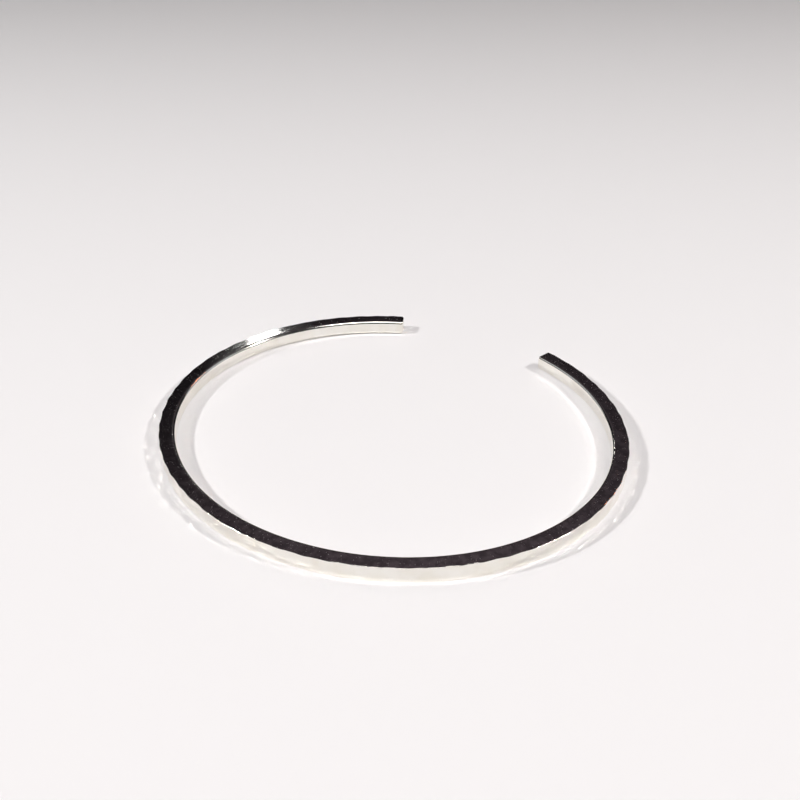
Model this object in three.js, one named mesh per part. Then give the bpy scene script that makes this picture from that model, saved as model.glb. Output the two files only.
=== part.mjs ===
// A slim open cuff bracelet, bent from one length of square silver wire.
// The wire's outer face is hammered all along, its two flats are ground level and
// polished, its inner edges are rounded so that they don't bite the wrist, and its
// two ends are cut square and filed round. It lies on its side: the flats face up
// and down, and the opening between the ends faces +Y.
import * as THREE from "three";

// Driving dimensions, in millimetres and degrees.
const OUTER_WIDTH = 62; // across the oval, along X
const OUTER_DEPTH = 57; // across the whole oval, along Y, as if it had no opening
const WIRE = 2.05; // side of the square wire, which is 12 gauge
const OPENING_ANGLE = 22.4; // from the middle of the opening to an end, as the oval's own angle
const INNER_EDGE_ROUND = 0.4; // radius of the two edges of the inner face
const END_ROUND = 0.4; // radius that the file leaves round each end

// The hammer blows on the outer face: a staggered row of shallow dishes.
const BLOW_PITCH = 1.45; // from one blow to the next, along the wire
const BLOW_STAGGER = 0.42; // each blow lands this far above or below the middle of the face
const BLOW_WANDER = 0.3; // furthest that a blow strays from its place, along and across
const BLOW_DEPTH = 0.06; // depth of the lightest blow
const BLOW_DEPTH_SPREAD = 0.07; // how much deeper the heaviest one is
const HAMMER_RADIUS = 8; // of the hammer's domed face
const FACE_LEVEL = 0.085; // the dishes' mean depth: the metal between them stands this proud of the oval

// Fineness of the faceted solid.
const FACETS_PER_BLOW = 2;
const FACE_ROWS = 4; // strips across the hammered face
const EDGE_STEPS = 2; // flats that make one rounded edge
const END_STEPS = 3; // rings that make one rounded end

const HALF_WIDTH = OUTER_WIDTH / 2;
const HALF_DEPTH = OUTER_DEPTH / 2;

// A point on the oval's outer line, at the oval's own angle from +X.
function ovalPoint(angle) {
  return new THREE.Vector2(
    HALF_WIDTH * Math.cos(angle),
    HALF_DEPTH * Math.sin(angle),
  );
}

// The direction from that point straight in towards the wrist.
function inwards(angle) {
  return new THREE.Vector2(
    -Math.cos(angle) / HALF_WIDTH,
    -Math.sin(angle) / HALF_DEPTH,
  ).normalize();
}

// The wire's line from end to end, the long way round: how far along the wire each
// of many small steps lies, so that a length can be turned back into an angle.
function measureWire(steps = 4000) {
  const first = THREE.MathUtils.degToRad(90 + OPENING_ANGLE);
  const last = THREE.MathUtils.degToRad(450 - OPENING_ANGLE);
  const angles = [first];
  const lengths = [0];
  for (let i = 1; i <= steps; i++) {
    const angle = first + ((last - first) * i) / steps;
    const step = ovalPoint(angle).distanceTo(ovalPoint(angles[i - 1]));
    angles.push(angle);
    lengths.push(lengths[i - 1] + step);
  }
  const length = lengths[steps];
  const angleAt = (s) => {
    const after = Math.max(1, lengths.findIndex((l) => l >= Math.min(s, length)));
    const share =
      (s - lengths[after - 1]) / (lengths[after] - lengths[after - 1]);
    return THREE.MathUtils.lerp(angles[after - 1], angles[after], share);
  };
  return { length, angleAt };
}

// A number from 0 to 1 for each blow, which never settles into a pattern. Each of the
// three shares is for one property of a blow.
const SHARES = { along: 0.618034, across: 0.754878, depth: 0.56984 };
function scatter(blow, share) {
  return THREE.MathUtils.euclideanModulo((blow + 1) * share, 1);
}

// How deep the hammer has driven the outer face, at a length along the wire and a
// height on the face: the deepest of the dishes that reach there.
function hammered(along, height) {
  const nearest = Math.round(along / BLOW_PITCH);
  let depth = 0;
  for (let blow = nearest - 2; blow <= nearest + 2; blow++) {
    const side = blow % 2 === 0 ? 1 : -1;
    const strayAlong = 2 * scatter(blow, SHARES.along) - 1;
    const strayAcross = 2 * scatter(blow, SHARES.across) - 1;
    const s = blow * BLOW_PITCH + BLOW_WANDER * strayAlong;
    const z = WIRE / 2 + side * BLOW_STAGGER + BLOW_WANDER * strayAcross;
    const deepest =
      BLOW_DEPTH + BLOW_DEPTH_SPREAD * scatter(blow, SHARES.depth);
    const away = (along - s) ** 2 + (height - z) ** 2;
    depth = Math.max(depth, deepest - away / (2 * HAMMER_RADIUS));
  }
  return depth;
}

// The wire's cross-section as points (depth in from the outer face, height), going up
// the hammered face, across the top, down the inner face and back along the bottom.
function wireSection() {
  const points = [];
  for (let i = 0; i <= FACE_ROWS; i++) {
    points.push({ depth: 0, height: (WIRE * i) / FACE_ROWS, face: true });
  }
  const centre = WIRE - INNER_EDGE_ROUND;
  for (const [height, from] of [
    [centre, Math.PI / 2],
    [INNER_EDGE_ROUND, 0],
  ]) {
    for (let i = 0; i <= EDGE_STEPS; i++) {
      const turn = from - (Math.PI / 2) * (i / EDGE_STEPS);
      points.push({
        depth: centre + INNER_EDGE_ROUND * Math.cos(turn),
        height: height + INNER_EDGE_ROUND * Math.sin(turn),
        face: false,
      });
    }
  }
  return points;
}

// The lengths along the wire at which a cross-section stands, and how far each is
// drawn in on all sides: closely over the rounded ends, evenly between them.
function stations(length) {
  const list = [];
  for (let i = 0; i < END_STEPS; i++) {
    const turn = (Math.PI / 2) * (i / END_STEPS);
    list.push({
      along: END_ROUND * (1 - Math.cos(turn)),
      drawnIn: END_ROUND * (1 - Math.sin(turn)),
    });
  }
  const far = list.map(({ along, drawnIn }) => ({
    along: length - along,
    drawnIn,
  }));
  const between = length - 2 * END_ROUND;
  const count = Math.round((between * FACETS_PER_BLOW) / BLOW_PITCH);
  for (let i = 0; i <= count; i++) {
    list.push({ along: END_ROUND + (between * i) / count, drawnIn: 0 });
  }
  return list.concat(far.reverse());
}

// The whole cuff as one closed surface: a ring of points at each station, quads
// between neighbouring rings, and a fan of triangles over each end.
function cuffGeometry() {
  const { length, angleAt } = measureWire();
  const section = wireSection();
  const middle = WIRE / 2;
  const rings = stations(length);
  const positions = [];
  const place = (angle, depth, height) => {
    const p = ovalPoint(angle).addScaledVector(inwards(angle), depth);
    positions.push(p.x, p.y, height);
  };
  for (const { along, drawnIn } of rings) {
    const angle = angleAt(along);
    const share = 1 - drawnIn / middle;
    for (const { depth, height, face } of section) {
      const dent = face ? hammered(along, height) - FACE_LEVEL : 0;
      place(
        angle,
        middle + (depth + dent - middle) * share,
        middle + (height - middle) * share,
      );
    }
  }
  const around = section.length;
  const indices = [];
  for (let ring = 0; ring + 1 < rings.length; ring++) {
    for (let i = 0; i < around; i++) {
      const a = ring * around + i;
      const b = ring * around + ((i + 1) % around);
      indices.push(a, a + around, b, b, a + around, b + around);
    }
  }
  for (const [ring, turned] of [
    [0, false],
    [rings.length - 1, true],
  ]) {
    const hub = positions.length / 3;
    place(angleAt(rings[ring].along), middle, middle);
    for (let i = 0; i < around; i++) {
      const a = ring * around + i;
      const b = ring * around + ((i + 1) % around);
      indices.push(hub, ...(turned ? [b, a] : [a, b]));
    }
  }
  const geometry = new THREE.BufferGeometry();
  geometry.setAttribute(
    "position",
    new THREE.Float32BufferAttribute(positions, 3),
  );
  geometry.setIndex(indices);
  geometry.computeVertexNormals();
  return geometry;
}

const silver = new THREE.MeshStandardMaterial({
  color: 0xdfdedb,
  roughness: 0.12,
  metalness: 1,
});

const band = new THREE.Mesh(cuffGeometry(), silver);
band.name = "cuff_band";

// The origin is under the middle of the cuff's box, on the surface that it lies on.
const box = new THREE.Box3().setFromObject(band);
const middleOfBox = box.getCenter(new THREE.Vector3());
band.position.set(-middleOfBox.x, -middleOfBox.y, -box.min.z);

const cuff = new THREE.Group();
cuff.add(band);

export default cuff;
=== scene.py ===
"""A slim open cuff bracelet of square silver wire, lying on its side on a pale table.

The wire's outer face is hammered, its flats are ground and polished, its inner edges
are rounded, and its two ends are cut square and filed.
"""
import math

import bpy
import numpy as np
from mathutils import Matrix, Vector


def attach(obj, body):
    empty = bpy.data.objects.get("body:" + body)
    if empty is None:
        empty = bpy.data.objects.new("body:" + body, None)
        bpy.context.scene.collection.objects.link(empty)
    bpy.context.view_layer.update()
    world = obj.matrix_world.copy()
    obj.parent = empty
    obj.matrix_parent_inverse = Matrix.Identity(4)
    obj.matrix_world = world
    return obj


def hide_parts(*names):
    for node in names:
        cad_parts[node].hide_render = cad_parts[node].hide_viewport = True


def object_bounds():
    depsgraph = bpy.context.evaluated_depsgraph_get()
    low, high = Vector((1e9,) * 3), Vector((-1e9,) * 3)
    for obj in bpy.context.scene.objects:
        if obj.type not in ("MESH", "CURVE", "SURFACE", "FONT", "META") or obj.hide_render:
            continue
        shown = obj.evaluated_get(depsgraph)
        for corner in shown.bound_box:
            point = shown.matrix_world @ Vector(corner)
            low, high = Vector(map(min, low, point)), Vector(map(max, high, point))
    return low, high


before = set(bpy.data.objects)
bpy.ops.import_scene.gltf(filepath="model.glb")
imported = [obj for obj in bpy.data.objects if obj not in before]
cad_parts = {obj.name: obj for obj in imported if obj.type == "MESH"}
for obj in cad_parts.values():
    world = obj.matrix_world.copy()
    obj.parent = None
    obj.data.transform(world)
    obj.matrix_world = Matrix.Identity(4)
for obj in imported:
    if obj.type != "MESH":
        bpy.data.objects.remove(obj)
cad_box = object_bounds()

# ---------------------------------------------------------------------------
# Camera: a hand-held view from above the front of the cuff, turned to its right,
# so that the opening lies at the back.
# ---------------------------------------------------------------------------
MM = 0.001
OUTER_WIDTH = 62 * MM
OUTER_DEPTH = 57 * MM
FACE_LEVEL = 0.085 * MM  # how proud of the oval the metal between the dishes stands
low_corner, high_corner = (np.array(corner) for corner in cad_box)
oval_centre = np.array(
    [(low_corner[0] + high_corner[0]) / 2, low_corner[1] + FACE_LEVEL + OUTER_DEPTH / 2, 0.0]
)

VIEW_AZIMUTH = math.radians(27.8)
VIEW_ELEVATION = math.radians(32.5)
VIEW_DISTANCE = 133 * MM
LENS = 45.0
SENSOR = 36.0
AIM_RIGHT = 1.15 * MM
AIM_UP = 4.19 * MM

to_right = np.array([math.cos(VIEW_AZIMUTH), math.sin(VIEW_AZIMUTH), 0.0])
to_viewer = np.array(
    [
        math.sin(VIEW_AZIMUTH) * math.cos(VIEW_ELEVATION),
        -math.cos(VIEW_AZIMUTH) * math.cos(VIEW_ELEVATION),
        math.sin(VIEW_ELEVATION),
    ]
)
to_top = np.cross(to_viewer, to_right)


def look(place, right, up, back):
    """A 4 x 4 matrix that stands a camera or lamp at place, looking against back."""
    matrix = np.eye(4)
    matrix[:3, :4] = np.column_stack([right, up, back, place])
    return matrix.T


camera_data = bpy.data.cameras.new("camera")
camera_data.lens = LENS
camera_data.sensor_width = SENSOR
camera_data.clip_start = 5 * MM
camera = bpy.data.objects.new("camera", camera_data)
camera_place = (
    oval_centre + to_right * AIM_RIGHT + to_top * AIM_UP + to_viewer * VIEW_DISTANCE
)
camera.matrix_world = look(camera_place, to_right, to_top, to_viewer)
bpy.context.scene.collection.objects.link(camera)
bpy.context.scene.camera = camera

# ---------------------------------------------------------------------------
# Cuff band: one length of square silver wire, bent to an open oval. A domed hammer
# has dished its outer face all along; the flats are ground level and polished, the
# inner edges rounded for the wrist, and the cut ends filed round.
# ---------------------------------------------------------------------------
WIRE = 2.05 * MM
OPENING_ANGLE = math.radians(22.4)
INNER_EDGE_ROUND = 0.4 * MM
END_ROUND = 0.4 * MM
BROKEN_EDGE = 0.055 * MM  # what the polishing takes off the hammered face's edges
BROKEN_EDGE_SPREAD = 0.03 * MM

BLOW_PITCH = 1.45 * MM
BLOW_STAGGER = 0.42 * MM
BLOW_WANDER = 0.3 * MM
BLOW_DEPTH = 0.06 * MM
BLOW_DEPTH_SPREAD = 0.07 * MM
HAMMER_RADIUS = 8 * MM
RIDGE_SOFTNESS = 0.009 * MM
SHARES = {"along": 0.618034, "across": 0.754878, "depth": 0.56984}

STATIONS = 1250
END_STATIONS = 9
FACE_ROWS = 15


def oval_line(angle):
    """Points on the oval's outer line, x = half width times cosine and y = half depth
    times sine, and the unit directions from them square in towards the wrist."""
    half = np.array([OUTER_WIDTH, OUTER_DEPTH]) / 2
    turn = np.stack([np.cos(angle), np.sin(angle)], -1)
    inwards = -turn / half
    return turn * half, inwards / np.linalg.norm(inwards, axis=-1, keepdims=True)


def measure_wire(steps=4000):
    """The angles of many small steps along the outer line, from end to end the long
    way round, and how far along the wire each one lies: the sum of the steps."""
    angle = np.linspace(math.pi / 2 + OPENING_ANGLE, 2.5 * math.pi - OPENING_ANGLE, steps + 1)
    points, _ = oval_line(angle)
    step = np.linalg.norm(np.diff(points, axis=0), axis=1)
    return angle, np.concatenate([[0.0], np.cumsum(step)])


def scatter(blow, share):
    """A number from 0 to 1 for each blow: the fraction left of its count times share."""
    return np.mod((blow + 1) * share, 1)


def hammered(along, height):
    """How deep the hammer has driven the face: the deepest of the dishes near each
    point, where a dish is its own depth less the distance squared over the diameter
    of the hammer's dome. The logarithm of summed exponentials softens the ridges."""
    nearest = np.round(along / BLOW_PITCH)
    depth = np.zeros(np.broadcast(along, height).shape)
    for step in range(-2, 3):
        blow = nearest + step
        side = np.where(np.mod(blow, 2) == 0, 1, -1)
        stray_along = 2 * scatter(blow, SHARES["along"]) - 1
        stray_across = 2 * scatter(blow, SHARES["across"]) - 1
        middle_along = blow * BLOW_PITCH + BLOW_WANDER * stray_along
        middle_up = WIRE / 2 + side * BLOW_STAGGER + BLOW_WANDER * stray_across
        deepest = BLOW_DEPTH + BLOW_DEPTH_SPREAD * scatter(blow, SHARES["depth"])
        away = (along - middle_along) ** 2 + (height - middle_up) ** 2
        dish = deepest - away / (2 * HAMMER_RADIUS)
        depth = RIDGE_SOFTNESS * np.logaddexp(depth / RIDGE_SOFTNESS, dish / RIDGE_SOFTNESS)
    return depth


def waver(along, shortest):
    """Unevenness left by hand, from -1 to 1: three sine waves along the wire, whose
    lengths are shortest times 1, 1.618 and 2.618, added and scaled."""
    turns = 2 * math.pi * along / shortest
    return (np.sin(turns) + np.sin(turns / 1.618 + 1.3) + np.sin(turns / 2.618 + 4.1)) / 3


def section(along):
    """The wire's cross-section at each station, as depth in from the outer face,
    height above the table, and how much of the dish each point takes: up the face,
    over a broken edge, across the top, round the inner edges and back underneath."""
    edge = BROKEN_EDGE + BROKEN_EDGE_SPREAD * waver(along, 0.61 * MM)[:, None]
    one = np.ones_like(edge)
    up = np.linspace(0, 1, FACE_ROWS)
    face = (0 * up * one, edge + (WIRE - 2 * edge) * up, one * (1 + 0 * up))
    turn = np.radians([20.0, 45.0, 70.0, 90.0])
    top_edge = (
        edge * (1 - np.cos(turn)),
        WIRE - edge * (1 - np.sin(turn)),
        one * (1 + 0 * turn),
    )
    flat_from, flat_to = edge, WIRE - INNER_EDGE_ROUND
    across = np.array([0.015, 0.06, 0.2, 0.5, 0.8, 0.95, 0.985])
    flat = (
        flat_from + (flat_to - flat_from) * across,
        WIRE * one * (1 + 0 * across),
        one * (1 - across),
    )
    round_ = np.radians(np.linspace(90, 0, 11))
    inner = (
        one * (flat_to + INNER_EDGE_ROUND * np.cos(round_)),
        one * (flat_to + INNER_EDGE_ROUND * np.sin(round_)),
        0 * one * round_,
    )
    wall = (
        one * WIRE * np.ones(3),
        one * (INNER_EDGE_ROUND + (WIRE - 2 * INNER_EDGE_ROUND) * np.array([0.97, 0.5, 0.03])),
        0 * one * np.ones(3),
    )

    def mirrored(part):
        depth, height, dished = part
        return depth[:, ::-1], WIRE - height[:, ::-1], dished[:, ::-1]

    parts = [face, top_edge, flat, inner, wall, mirrored(inner), mirrored(flat), mirrored(top_edge)]
    return tuple(np.concatenate([part[i] for part in parts], axis=1) for i in range(3))


def band_stations(length):
    """Lengths along the wire where a section stands, and how far it is drawn in: even
    between the ends, and over each end a quarter circle of the filed radius."""
    turn = (math.pi / 2) * np.arange(END_STATIONS) / END_STATIONS
    along = END_ROUND * (1 - np.cos(turn))
    drawn_in = END_ROUND * (1 - np.sin(turn))
    between = np.linspace(END_ROUND, length - END_ROUND, STATIONS)
    return (
        np.concatenate([along, between, length - along[::-1]]),
        np.concatenate([drawn_in, 0 * between, drawn_in[::-1]]),
    )


def band_mesh(name):
    """The band as one closed grid: the section at every station, drawn towards its
    middle over the ends, with quads between neighbours and a fan over each end."""
    angle_table, length_table = measure_wire()
    along, drawn_in = band_stations(length_table[-1])
    outer, inwards = oval_line(np.interp(along, length_table, angle_table))
    depth, height, dished = section(along)
    depth = depth + dished * (hammered(along[:, None], height) - FACE_LEVEL)
    middle = WIRE / 2
    share = (1 - drawn_in / middle)[:, None]
    depth = middle + (depth - middle) * share
    height = middle + (height - middle) * share
    plan = outer[:, None, :] + inwards[:, None, :] * depth[..., None]
    grid = np.concatenate([plan, height[..., None]], -1)
    hubs = np.concatenate([outer[[0, -1]] + inwards[[0, -1]] * middle, [[middle], [middle]]], 1)
    points = np.concatenate([grid.reshape(-1, 3), hubs]) + oval_centre

    rings, around = depth.shape
    ring, i = np.meshgrid(np.arange(rings - 1), np.arange(around), indexing="ij")
    after = (i + 1) % around
    quads = np.stack(
        [ring * around + i, (ring + 1) * around + i, (ring + 1) * around + after, ring * around + after], -1
    ).reshape(-1, 4)
    i = np.arange(around)
    last = (rings - 1) * around
    first_hub = rings * around
    fans = np.concatenate(
        [
            np.stack([first_hub + 0 * i, (i + 1) % around, i], -1),
            np.stack([first_hub + 1 + 0 * i, last + i, last + (i + 1) % around], -1),
        ]
    )[:, ::-1]
    mesh = bpy.data.meshes.new(name)
    mesh.from_pydata(points.tolist(), [], quads.tolist() + fans.tolist())
    mesh.polygons.foreach_set("use_smooth", np.arange(len(mesh.polygons)) < len(quads))

    # Where each point is on the wire, in millimetres, and how much of it is dished.
    step = np.hypot(np.diff(depth, axis=1, append=depth[:, :1]), np.diff(height, axis=1, append=height[:, :1]))
    girth = np.cumsum(step, 1) - step
    on_hub = np.zeros(2)
    marks = {
        "wire_along": np.concatenate([np.repeat(along, around), along[[0, -1]]]) / MM,
        "wire_around": np.concatenate([girth.ravel(), on_hub]) / MM,
        "hammered": np.concatenate([(dished >= 1).astype(float).ravel(), on_hub]),
        "ground": np.concatenate([((dished > 0) & (dished < 1)).astype(float).ravel(), on_hub]),
    }
    for mark, values in marks.items():
        mesh.attributes.new(mark, "FLOAT", "POINT").data.foreach_set("value", values.astype(np.float32))
    mesh.update()
    return mesh


def node(tree, kind, **settings):
    """Adds a node, with its settings; a setting that the node has no attribute for is skipped."""
    made = tree.nodes.new(kind)
    for key, value in settings.items():
        setattr(made, key, value) if hasattr(made, key) else None
    return made


SILVER_BRIGHT = (0.92, 0.905, 0.86, 1)
SILVER_WARM = (0.86, 0.835, 0.765, 1)
SILVER_DULL = (0.46, 0.44, 0.43, 1)


def silver_material():
    """Polished sterling silver. Its hammered face is burnished bright; the flats carry
    fine marks along the wire, specks and a faint dulling from the polishing wheel."""
    material = bpy.data.materials.new("sterling_silver")
    material.use_nodes = True
    tree = material.node_tree
    link = tree.links.new
    shader = tree.nodes["Principled BSDF"]
    shader.inputs["Metallic"].default_value = 1.0

    place = tree.nodes.new("ShaderNodeTexCoord").outputs["Object"]
    along = node(tree, "ShaderNodeAttribute", attribute_name="wire_along").outputs["Fac"]
    around = node(tree, "ShaderNodeAttribute", attribute_name="wire_around").outputs["Fac"]
    on_face = node(tree, "ShaderNodeAttribute", attribute_name="hammered").outputs["Fac"]
    on_flat = node(tree, "ShaderNodeAttribute", attribute_name="ground").outputs["Fac"]

    def noise(vector, scale, detail=3.0):
        made = tree.nodes.new("ShaderNodeTexNoise")
        made.inputs["Scale"].default_value = scale
        made.inputs["Detail"].default_value = detail
        link(vector, made.inputs["Vector"])
        return made.outputs["Fac"]

    def ramp(value, low, high, to_low=0.0, to_high=1.0):
        made = tree.nodes.new("ShaderNodeMapRange")
        for socket, number in zip(("From Min", "From Max", "To Min", "To Max"), (low, high, to_low, to_high)):
            made.inputs[socket].default_value = number
        link(value, made.inputs["Value"])
        return made.outputs["Result"]

    def sums(kind, a, b):
        made = node(tree, "ShaderNodeMath", operation=kind)
        for socket, value in zip(made.inputs, (a, b)):
            if isinstance(value, (int, float)):
                socket.default_value = value
            else:
                link(value, socket)
        return made.outputs[0]

    # Marks drawn out along the wire: a noise stretched by its own length and girth.
    on_wire = tree.nodes.new("ShaderNodeCombineXYZ")
    link(sums("MULTIPLY", along, 0.35), on_wire.inputs["X"])
    link(sums("MULTIPLY", around, 6.0), on_wire.inputs["Y"])
    wheel_marks = noise(on_wire.outputs["Vector"], 1.6, 4.0)
    specks = ramp(noise(place, 5200.0, 2.0), 0.66, 0.74)
    clouds = noise(place, 420.0, 3.0)

    flat_roughness = ramp(clouds, 0.35, 0.7, 0.05, 0.09)
    flat_roughness = sums("ADD", flat_roughness, sums("MULTIPLY", specks, 0.34))
    flat_roughness = sums("ADD", flat_roughness, ramp(wheel_marks, 0.5, 0.75, 0.0, 0.04))
    face_roughness = ramp(clouds, 0.3, 0.7, 0.06, 0.10)
    inner_roughness = ramp(clouds, 0.3, 0.7, 0.11, 0.15)

    def blend_numbers(factor, a, b):
        made = node(tree, "ShaderNodeMix", data_type="FLOAT")
        for socket, value in (("Factor", factor), ("A", a), ("B", b)):
            link(value, made.inputs[socket])
        return made.outputs["Result"]

    roughness = blend_numbers(on_flat, inner_roughness, flat_roughness)
    link(blend_numbers(on_face, roughness, face_roughness), shader.inputs["Roughness"])

    def blend_colors(factor, a, b):
        made = node(tree, "ShaderNodeMix", data_type="RGBA")
        link(factor, made.inputs["Factor"])
        for socket, value in (("A", a), ("B", b)):
            if isinstance(value, tuple):
                made.inputs[socket].default_value = value
            else:
                link(value, made.inputs[socket])
        return made.outputs["Result"]

    grime = sums("MULTIPLY", ramp(noise(place, 1150.0, 5.0), 0.38, 0.62), 0.80)
    face_tone = blend_colors(ramp(clouds, 0.3, 0.7), SILVER_WARM, SILVER_BRIGHT)
    flat_tone = blend_colors(grime, SILVER_BRIGHT, SILVER_DULL)
    link(blend_colors(on_flat, face_tone, flat_tone), shader.inputs["Base Color"])

    bump = tree.nodes.new("ShaderNodeBump")
    bump.inputs["Strength"].default_value = 0.12
    bump.inputs["Distance"].default_value = 0.02 * MM
    link(sums("ADD", wheel_marks, sums("MULTIPLY", specks, -0.6)), bump.inputs["Height"])
    link(bump.outputs["Normal"], shader.inputs["Normal"])
    return material


band = bpy.data.objects.new("hammered_band", band_mesh("hammered_band"))
bpy.context.scene.collection.objects.link(band)
band.data.materials.append(silver_material())
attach(band, "root")
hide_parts("cuff_band")

# ---------------------------------------------------------------------------
# Table: a plain pale surface with a satin finish, larger than the view.
# ---------------------------------------------------------------------------
TABLE_SIDE = 0.9
corners = np.array([[-1, -1, 0], [1, -1, 0], [1, 1, 0], [-1, 1, 0]]) * TABLE_SIDE / 2
table_mesh = bpy.data.meshes.new("table")
table_mesh.from_pydata(corners.tolist(), [], [(0, 1, 2, 3)])
table_material = bpy.data.materials.new("pale_table")
table_material.use_nodes = True
table_shader = table_material.node_tree.nodes["Principled BSDF"]
table_shader.inputs["Base Color"].default_value = (0.90, 0.89, 0.895, 1)
table_shader.inputs["Roughness"].default_value = 0.6
table_shader.inputs["Specular IOR Level"].default_value = 0.2
table_mesh.materials.append(table_material)
table = bpy.data.objects.new("table", table_mesh)
bpy.context.scene.collection.objects.link(table)

# ---------------------------------------------------------------------------
# Studio light: a dim room, a wide lamp above the viewer, a small lamp to each side,
# and a narrow bright window far off to the left.
# ---------------------------------------------------------------------------
BACKDROP = (0.72, 0.705, 0.70)
ROOM_DARK = (0.004, 0.0038, 0.0046)
ROOM_LIGHT = (0.066, 0.052, 0.061)
ROOM_LIGHT_SIDE = (3, 46)  # degrees right of the viewer's heading, and up


def direction(azimuth, elevation):
    """The unit direction at azimuth degrees to the right of the viewer's heading and
    elevation degrees up: cosine and sine of the heading, lowered by the rise."""
    heading = math.pi / 2 + VIEW_AZIMUTH - math.radians(azimuth)
    rise = math.radians(elevation)
    return np.array(
        [
            math.cos(heading) * math.cos(rise),
            math.sin(heading) * math.cos(rise),
            math.sin(rise),
        ]
    )


def lamp(name, azimuth, elevation, distance, width, height, power, color):
    """An oblong lamp facing the cuff from that direction, in metres and watts."""
    back = direction(azimuth, elevation)
    right = np.cross([0.0, 0.0, 1.0], back)
    right /= np.linalg.norm(right)
    data = bpy.data.lights.new(name, "AREA")
    data.shape = "RECTANGLE"
    data.size, data.size_y = width, height
    data.energy = power
    data.color = color
    made = bpy.data.objects.new(name, data)
    made.matrix_world = look(oval_centre + back * distance, right, np.cross(back, right), back)
    bpy.context.scene.collection.objects.link(made)
    return made


lamp("wide_lamp", 175, 75, 0.42, 0.20, 0.20, 0.70, (1.0, 0.957, 0.962))
lamp("right_lamp", 98, 44, 0.60, 0.045, 0.045, 1.50, (1.0, 0.985, 0.96))
lamp("left_lamp", -96, 38, 0.60, 0.045, 0.045, 1.78, (1.0, 0.985, 0.97))
lamp("window", -9.6, 28.6, 1.2, 0.030, 0.05, 0.06, (0.97, 0.99, 1.0))
lamp("right_screen", 66, 26, 1.0, 0.85, 0.85, 1.0, (0.93, 0.96, 1.0))
lamp("left_screen", -62, 26, 1.0, 0.75, 0.85, 0.75, (0.93, 0.96, 1.0))
lamp("warm_lamp", 34, 39.5, 1.0, 0.05, 0.05, 0.11, (1.0, 0.30, 0.12))

# The room is nearly black but for its far end, which is a little lighter.
room = bpy.data.worlds.new("room")
room.use_nodes = True
room_tree = room.node_tree
toward_light = room_tree.nodes.new("ShaderNodeVectorMath")
toward_light.operation = "DOT_PRODUCT"
toward_light.inputs[1].default_value = direction(*ROOM_LIGHT_SIDE)
brighter = room_tree.nodes.new("ShaderNodeMapRange")
brighter.inputs["From Min"].default_value = 0.93
room_color = room_tree.nodes.new("ShaderNodeMix")
room_color.data_type = "RGBA"
room_color.inputs["A"].default_value = (*ROOM_DARK, 1)
room_color.inputs["B"].default_value = (*ROOM_LIGHT, 1)
heading = room_tree.nodes.new("ShaderNodeTexCoord")
room_tree.links.new(heading.outputs["Generated"], toward_light.inputs[0])
room_tree.links.new(toward_light.outputs["Value"], brighter.inputs["Value"])
room_tree.links.new(brighter.outputs["Result"], room_color.inputs["Factor"])
# Past the table's edge the eye meets a plain pale backdrop, which the silver doesn't.
seen_color = room_tree.nodes.new("ShaderNodeMix")
seen_color.data_type = "RGBA"
seen_color.inputs["B"].default_value = (*BACKDROP, 1)
seen = room_tree.nodes.new("ShaderNodeLightPath")
room_tree.links.new(seen.outputs["Is Camera Ray"], seen_color.inputs["Factor"])
room_tree.links.new(room_color.outputs["Result"], seen_color.inputs["A"])
room_tree.links.new(seen_color.outputs["Result"], room_tree.nodes["Background"].inputs["Color"])
bpy.context.scene.world = room
bpy.context.scene.view_settings.view_transform = "Standard"
bpy.context.scene.cycles.blur_glossy = 0.15
bpy.context.scene.cycles.use_guiding = True
bpy.context.scene.cycles.sample_clamp_indirect = 60
